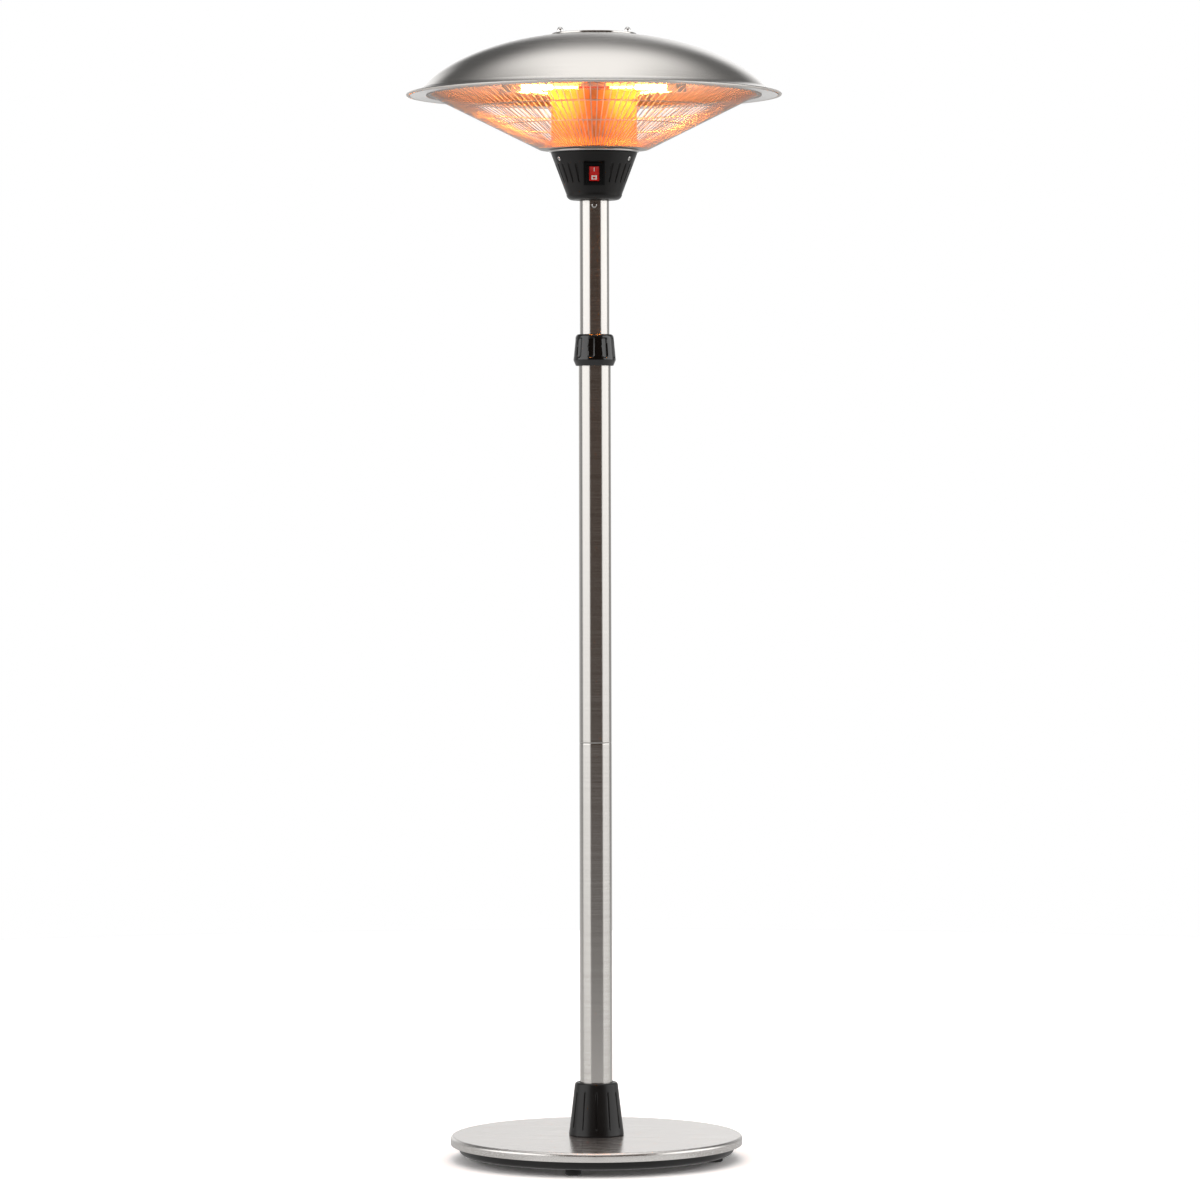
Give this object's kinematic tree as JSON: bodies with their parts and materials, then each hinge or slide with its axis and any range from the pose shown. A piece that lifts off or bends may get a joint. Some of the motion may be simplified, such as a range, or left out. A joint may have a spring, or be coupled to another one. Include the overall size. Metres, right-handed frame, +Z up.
{
  "type": "standing infrared patio heater",
  "caption": "Standing electric infrared heater: round weighted base, telescopic pole with lock nut, and a lamp head with rocker switch, wire guard and domed steel hood.",
  "frame": {"origin": "on the floor under the pole's axis, at the underside of the rubber feet", "axes": "+Z up along the pole, the switch on the front at -Y, +X to the right seen from the front"},
  "size_m": [0.5798, 0.5798, 1.7475],
  "materials": {
    "brushed_stainless": "brushed stainless steel",
    "polished_stainless": "mirror-polished stainless steel",
    "chrome_fixings": "bright chrome plate",
    "zinc_steel": "zinc-plated steel",
    "black_plastic": "satin black moulded plastic",
    "gloss_black_plastic": "gloss black moulded plastic",
    "white_nylon": "natural moulded nylon",
    "foot_rubber": "matt black rubber",
    "cement": "cast cement",
    "lamp_ceramic": "white steatite ceramic",
    "lamp_quartz": "gold-coated quartz lamp tube, lit",
    "rocker_red": "clear red plastic, lit from inside"
  },
  "bodies": {
    "stand": {"foot_1": "foot_rubber", "foot_2": "foot_rubber", "foot_3": "foot_rubber", "foot_4": "foot_rubber", "base_tray": "black_plastic", "base_weight": "cement", "base_cover": "brushed_stainless", "pole_flange": "zinc_steel", "flange_bolt_1": "zinc_steel", "flange_bolt_2": "zinc_steel", "flange_bolt_3": "zinc_steel", "base_collar": "black_plastic", "cable_grommet": "foot_rubber", "lower_pole": "brushed_stainless", "joint_sleeve": "zinc_steel", "upper_pole": "brushed_stainless", "clamp_bush": "white_nylon"},
    "lock_nut": {"lock_nut": "gloss_black_plastic"},
    "guide": {"guide_bush": "white_nylon"},
    "mast": {"mast_tube": "brushed_stainless", "tube_screw": "zinc_steel", "mast_neck": "zinc_steel", "switch_housing": "black_plastic", "housing_screw_1": "chrome_fixings", "housing_screw_2": "chrome_fixings", "housing_screw_3": "chrome_fixings", "switch_bezel": "gloss_black_plastic", "switch_body": "gloss_black_plastic", "head_plate": "zinc_steel", "terminal_block": "white_nylon", "tip_over_switch": "white_nylon", "trim_ring": "polished_stainless", "guard": "chrome_fixings", "drum_reflector": "polished_stainless", "drum_foot_ring": "polished_stainless", "reflector_plate": "polished_stainless", "heat_lamp_front": "lamp_quartz", "heat_lamp_right": "lamp_quartz", "heat_lamp_left": "lamp_quartz", "lamp_cap_front_a": "lamp_ceramic", "lamp_cap_front_b": "lamp_ceramic", "lamp_cap_right_a": "lamp_ceramic", "lamp_cap_right_b": "lamp_ceramic", "lamp_cap_left_a": "lamp_ceramic", "lamp_cap_left_b": "lamp_ceramic", "lamp_bracket_1": "zinc_steel", "lamp_bracket_2": "zinc_steel", "lamp_bracket_3": "zinc_steel", "long_bolt_left": "zinc_steel", "long_bolt_right": "zinc_steel", "spacer_left": "zinc_steel", "spacer_right": "zinc_steel", "hood": "brushed_stainless", "top_disc": "brushed_stainless", "cap_nut_left": "chrome_fixings", "cap_nut_right": "chrome_fixings"},
    "rocker": {"rocker": "rocker_red"}
  },
  "joints": [
    {"name": "lock_nut_turn", "type": "hinge", "parent": "stand", "child": "lock_nut", "pos_m": [0, 0, 1.2486], "axis": [0, 0, 1], "range_deg": [0, 180]},
    {"name": "height_slide", "type": "slide", "parent": "stand", "child": "guide", "axis": [0, 0, 1], "range_m": [-0.19, 0.25]},
    {"name": "mast_swivel", "type": "hinge", "parent": "guide", "child": "mast", "pos_m": [0, 0, 0.9], "axis": [0, 0, 1], "range_deg": [-180, 180]},
    {"name": "rocker_tilt", "type": "hinge", "parent": "mast", "child": "rocker", "pos_m": [0, -0.05275, 1.51842], "axis": [1, 0, 0], "range_deg": [0, 20]}
  ]
}
